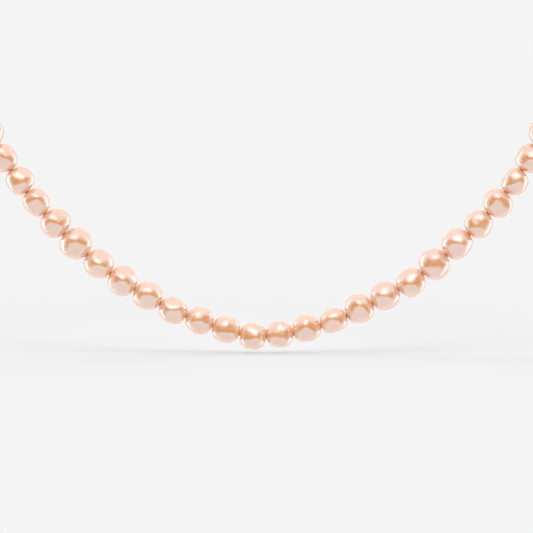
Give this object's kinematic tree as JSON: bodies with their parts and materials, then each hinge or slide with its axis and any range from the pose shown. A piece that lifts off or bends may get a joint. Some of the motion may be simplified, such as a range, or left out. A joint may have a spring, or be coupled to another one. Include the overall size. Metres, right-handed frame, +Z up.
{
  "type": "pearl necklace",
  "caption": "Single strand of potato-shaped pearls knotted on silk, hanging as worn in a soft V, closed at the nape by a gold lobster clasp.",
  "frame": {"origin": "centre of the clasp at the nape, midway between the two end knots", "axes": "+X to the wearer's left along the clasp (the strand's width), -Y towards the front drape, +Z up"},
  "size_m": [0.1484, 0.0906, 0.1023],
  "materials": {
    "pearl": "polished",
    "silk": "satin",
    "gold": "polished",
    "spring_steel": "satin"
  },
  "bodies": {
    "necklace_back": {"pearls_back_left_1": "pearl", "pearls_back_left_2": "pearl", "pearls_back_left_3": "pearl", "pearls_back_left_4": "pearl", "pearls_back_right_1": "pearl", "pearls_back_right_2": "pearl", "pearls_back_right_3": "pearl", "pearls_back_right_4": "pearl", "silk_back_left": "silk", "silk_back_right": "silk", "gimp_left": "gold", "gimp_right": "gold"},
    "clasp": {"clasp_body": "gold", "lever_pin": "gold", "lever_spring": "spring_steel"},
    "clasp_lever": {"clasp_lever": "gold"},
    "jump_ring": {"jump_ring": "gold"},
    "end_ring": {"end_ring": "gold"},
    "drape_13": {"silk_drape_13": "silk"},
    "drape_12": {"silk_drape_12": "silk"},
    "drape_11": {"silk_drape_11": "silk"},
    "drape_10": {"silk_drape_10": "silk"},
    "drape_09": {"silk_drape_09": "silk"},
    "drape_08": {"silk_drape_08": "silk"},
    "drape_07": {"silk_drape_07": "silk"},
    "drape_06": {"silk_drape_06": "silk"},
    "drape_05": {"silk_drape_05": "silk"},
    "drape_04": {"silk_drape_04": "silk"},
    "drape_03": {"silk_drape_03": "silk"},
    "drape_02": {"silk_drape_02": "silk"},
    "drape_01": {"silk_drape_01": "silk"},
    "pearl_left_01": {"pearl_left_01": "pearl"},
    "pearl_right_01": {"pearl_right_01": "pearl"},
    "pearl_left_02": {"pearl_left_02": "pearl"},
    "pearl_right_02": {"pearl_right_02": "pearl"},
    "pearl_left_03": {"pearl_left_03": "pearl"},
    "pearl_right_03": {"pearl_right_03": "pearl"},
    "pearl_left_04": {"pearl_left_04": "pearl"},
    "pearl_right_04": {"pearl_right_04": "pearl"},
    "pearl_left_05": {"pearl_left_05": "pearl"},
    "pearl_right_05": {"pearl_right_05": "pearl"},
    "pearl_left_06": {"pearl_left_06": "pearl"},
    "pearl_right_06": {"pearl_right_06": "pearl"},
    "pearl_left_07": {"pearl_left_07": "pearl"},
    "pearl_right_07": {"pearl_right_07": "pearl"},
    "pearl_left_08": {"pearl_left_08": "pearl"},
    "pearl_right_08": {"pearl_right_08": "pearl"},
    "pearl_left_09": {"pearl_left_09": "pearl"},
    "pearl_right_09": {"pearl_right_09": "pearl"},
    "pearl_left_10": {"pearl_left_10": "pearl"},
    "pearl_right_10": {"pearl_right_10": "pearl"},
    "pearl_left_11": {"pearl_left_11": "pearl"},
    "pearl_right_11": {"pearl_right_11": "pearl"},
    "pearl_left_12": {"pearl_left_12": "pearl"},
    "pearl_right_12": {"pearl_right_12": "pearl"},
    "pearl_left_13": {"pearl_left_13": "pearl"},
    "pearl_right_13": {"pearl_right_13": "pearl"}
  },
  "joints": [
    {"name": "clasp_lever_open", "type": "hinge", "parent": "clasp", "child": "clasp_lever", "pos_m": [-0.0004, 0, -0.0015], "axis": [0, -1, 0], "range_deg": [0, 38], "stiffness_Nm_per_rad": 0.001, "springref_deg": -28.65},
    {"name": "clasp_roll", "type": "hinge", "parent": "necklace_back", "child": "clasp", "pos_m": [0, 0, 0], "axis": [1, 0, 0], "range_deg": [-35, 35]},
    {"name": "drape_swing_13", "type": "hinge", "parent": "necklace_back", "child": "drape_13", "pos_m": [0, -0.084, -0.04626], "axis": [1, 0, 0], "range_deg": [-12, 12]},
    {"name": "drape_swing_12", "type": "hinge", "parent": "drape_13", "child": "drape_12", "pos_m": [0, -0.084, -0.05214], "axis": [1, 0, 0], "range_deg": [-12, 12]},
    {"name": "drape_swing_11", "type": "hinge", "parent": "drape_12", "child": "drape_11", "pos_m": [0, -0.084, -0.0577], "axis": [1, 0, 0], "range_deg": [-12, 12]},
    {"name": "drape_swing_10", "type": "hinge", "parent": "drape_11", "child": "drape_10", "pos_m": [0, -0.084, -0.06276], "axis": [1, 0, 0], "range_deg": [-12, 12]},
    {"name": "drape_swing_09", "type": "hinge", "parent": "drape_10", "child": "drape_09", "pos_m": [0, -0.084, -0.06772], "axis": [1, 0, 0], "range_deg": [-12, 12]},
    {"name": "drape_swing_08", "type": "hinge", "parent": "drape_09", "child": "drape_08", "pos_m": [0, -0.084, -0.07237], "axis": [1, 0, 0], "range_deg": [-12, 12]},
    {"name": "drape_swing_07", "type": "hinge", "parent": "drape_08", "child": "drape_07", "pos_m": [0, -0.084, -0.07716], "axis": [1, 0, 0], "range_deg": [-12, 12]},
    {"name": "drape_swing_06", "type": "hinge", "parent": "drape_07", "child": "drape_06", "pos_m": [0, -0.084, -0.08134], "axis": [1, 0, 0], "range_deg": [-12, 12]},
    {"name": "drape_swing_05", "type": "hinge", "parent": "drape_06", "child": "drape_05", "pos_m": [0, -0.084, -0.08505], "axis": [1, 0, 0], "range_deg": [-12, 12]},
    {"name": "drape_swing_04", "type": "hinge", "parent": "drape_05", "child": "drape_04", "pos_m": [0, -0.084, -0.08834], "axis": [1, 0, 0], "range_deg": [-12, 12]},
    {"name": "drape_swing_03", "type": "hinge", "parent": "drape_04", "child": "drape_03", "pos_m": [0, -0.084, -0.09114], "axis": [1, 0, 0], "range_deg": [-12, 12]},
    {"name": "drape_swing_02", "type": "hinge", "parent": "drape_03", "child": "drape_02", "pos_m": [0, -0.084, -0.09342], "axis": [1, 0, 0], "range_deg": [-12, 12]},
    {"name": "drape_swing_01", "type": "hinge", "parent": "drape_02", "child": "drape_01", "pos_m": [0, -0.084, -0.09522], "axis": [1, 0, 0], "range_deg": [-12, 12]},
    {"name": "jump_ring_turn", "type": "hinge", "parent": "clasp", "child": "jump_ring", "pos_m": [-0.00595, 0, 0], "axis": [0, 0, 1], "continuous": true},
    {"name": "end_ring_turn", "type": "hinge", "parent": "clasp", "child": "end_ring", "pos_m": [0.0056, 0, 0], "axis": [0, 0, 1], "continuous": true},
    {"name": "pearl_spin_left_01", "type": "hinge", "parent": "drape_01", "child": "pearl_left_01", "pos_m": [-0.00308, -0.084, -0.09561], "axis": [-0.9921, 0, 0.1257], "continuous": true},
    {"name": "pearl_spin_right_01", "type": "hinge", "parent": "drape_01", "child": "pearl_right_01", "pos_m": [0.00308, -0.084, -0.09561], "axis": [0.9921, 0, 0.1257], "continuous": true},
    {"name": "pearl_spin_left_02", "type": "hinge", "parent": "drape_02", "child": "pearl_left_02", "pos_m": [-0.00927, -0.084, -0.09432], "axis": [-0.961, 0, 0.2765], "continuous": true},
    {"name": "pearl_spin_right_02", "type": "hinge", "parent": "drape_02", "child": "pearl_right_02", "pos_m": [0.00927, -0.084, -0.09432], "axis": [0.961, 0, 0.2765], "continuous": true},
    {"name": "pearl_spin_left_03", "type": "hinge", "parent": "drape_03", "child": "pearl_left_03", "pos_m": [-0.01539, -0.084, -0.09228], "axis": [-0.9341, 0, 0.3569], "continuous": true},
    {"name": "pearl_spin_right_03", "type": "hinge", "parent": "drape_03", "child": "pearl_right_03", "pos_m": [0.01539, -0.084, -0.09228], "axis": [0.9341, 0, 0.3569], "continuous": true},
    {"name": "pearl_spin_left_04", "type": "hinge", "parent": "drape_04", "child": "pearl_left_04", "pos_m": [-0.02136, -0.084, -0.08974], "axis": [-0.9053, 0, 0.4248], "continuous": true},
    {"name": "pearl_spin_right_04", "type": "hinge", "parent": "drape_04", "child": "pearl_right_04", "pos_m": [0.02136, -0.084, -0.08974], "axis": [0.9053, 0, 0.4248], "continuous": true},
    {"name": "pearl_spin_left_05", "type": "hinge", "parent": "drape_05", "child": "pearl_left_05", "pos_m": [-0.02727, -0.084, -0.08669], "axis": [-0.8714, 0, 0.4906], "continuous": true},
    {"name": "pearl_spin_right_05", "type": "hinge", "parent": "drape_05", "child": "pearl_right_05", "pos_m": [0.02727, -0.084, -0.08669], "axis": [0.8714, 0, 0.4906], "continuous": true},
    {"name": "pearl_spin_left_06", "type": "hinge", "parent": "drape_06", "child": "pearl_left_06", "pos_m": [-0.03298, -0.084, -0.08319], "axis": [-0.8325, 0, 0.554], "continuous": true},
    {"name": "pearl_spin_right_06", "type": "hinge", "parent": "drape_06", "child": "pearl_right_06", "pos_m": [0.03298, -0.084, -0.08319], "axis": [0.8325, 0, 0.554], "continuous": true},
    {"name": "pearl_spin_left_07", "type": "hinge", "parent": "drape_07", "child": "pearl_left_07", "pos_m": [-0.03845, -0.084, -0.07925], "axis": [-0.7886, 0, 0.6149], "continuous": true},
    {"name": "pearl_spin_right_07", "type": "hinge", "parent": "drape_07", "child": "pearl_right_07", "pos_m": [0.03845, -0.084, -0.07925], "axis": [0.7886, 0, 0.6149], "continuous": true},
    {"name": "pearl_spin_left_08", "type": "hinge", "parent": "drape_08", "child": "pearl_left_08", "pos_m": [-0.04375, -0.084, -0.07476], "axis": [-0.7388, 0, 0.6739], "continuous": true},
    {"name": "pearl_spin_right_08", "type": "hinge", "parent": "drape_08", "child": "pearl_right_08", "pos_m": [0.04375, -0.084, -0.07476], "axis": [0.7388, 0, 0.6739], "continuous": true},
    {"name": "pearl_spin_left_09", "type": "hinge", "parent": "drape_09", "child": "pearl_left_09", "pos_m": [-0.04857, -0.084, -0.07004], "axis": [-0.6863, 0, 0.7273], "continuous": true},
    {"name": "pearl_spin_right_09", "type": "hinge", "parent": "drape_09", "child": "pearl_right_09", "pos_m": [0.04857, -0.084, -0.07004], "axis": [0.6863, 0, 0.7273], "continuous": true},
    {"name": "pearl_spin_left_10", "type": "hinge", "parent": "drape_10", "child": "pearl_left_10", "pos_m": [-0.05279, -0.084, -0.06524], "axis": [-0.6329, 0, 0.7743], "continuous": true},
    {"name": "pearl_spin_right_10", "type": "hinge", "parent": "drape_10", "child": "pearl_right_10", "pos_m": [0.05279, -0.084, -0.06524], "axis": [0.6329, 0, 0.7743], "continuous": true},
    {"name": "pearl_spin_left_11", "type": "hinge", "parent": "drape_11", "child": "pearl_left_11", "pos_m": [-0.05661, -0.084, -0.06023], "axis": [-0.5772, 0, 0.8166], "continuous": true},
    {"name": "pearl_spin_right_11", "type": "hinge", "parent": "drape_11", "child": "pearl_right_11", "pos_m": [0.05661, -0.084, -0.06023], "axis": [0.5772, 0, 0.8166], "continuous": true},
    {"name": "pearl_spin_left_12", "type": "hinge", "parent": "drape_12", "child": "pearl_left_12", "pos_m": [-0.06008, -0.084, -0.05492], "axis": [-0.5181, 0, 0.8553], "continuous": true},
    {"name": "pearl_spin_right_12", "type": "hinge", "parent": "drape_12", "child": "pearl_right_12", "pos_m": [0.06008, -0.084, -0.05492], "axis": [0.5181, 0, 0.8553], "continuous": true},
    {"name": "pearl_spin_left_13", "type": "hinge", "parent": "drape_13", "child": "pearl_left_13", "pos_m": [-0.06326, -0.084, -0.0492], "axis": [-0.4546, 0, 0.8907], "continuous": true},
    {"name": "pearl_spin_right_13", "type": "hinge", "parent": "drape_13", "child": "pearl_right_13", "pos_m": [0.06326, -0.084, -0.0492], "axis": [0.4546, 0, 0.8907], "continuous": true}
  ]
}
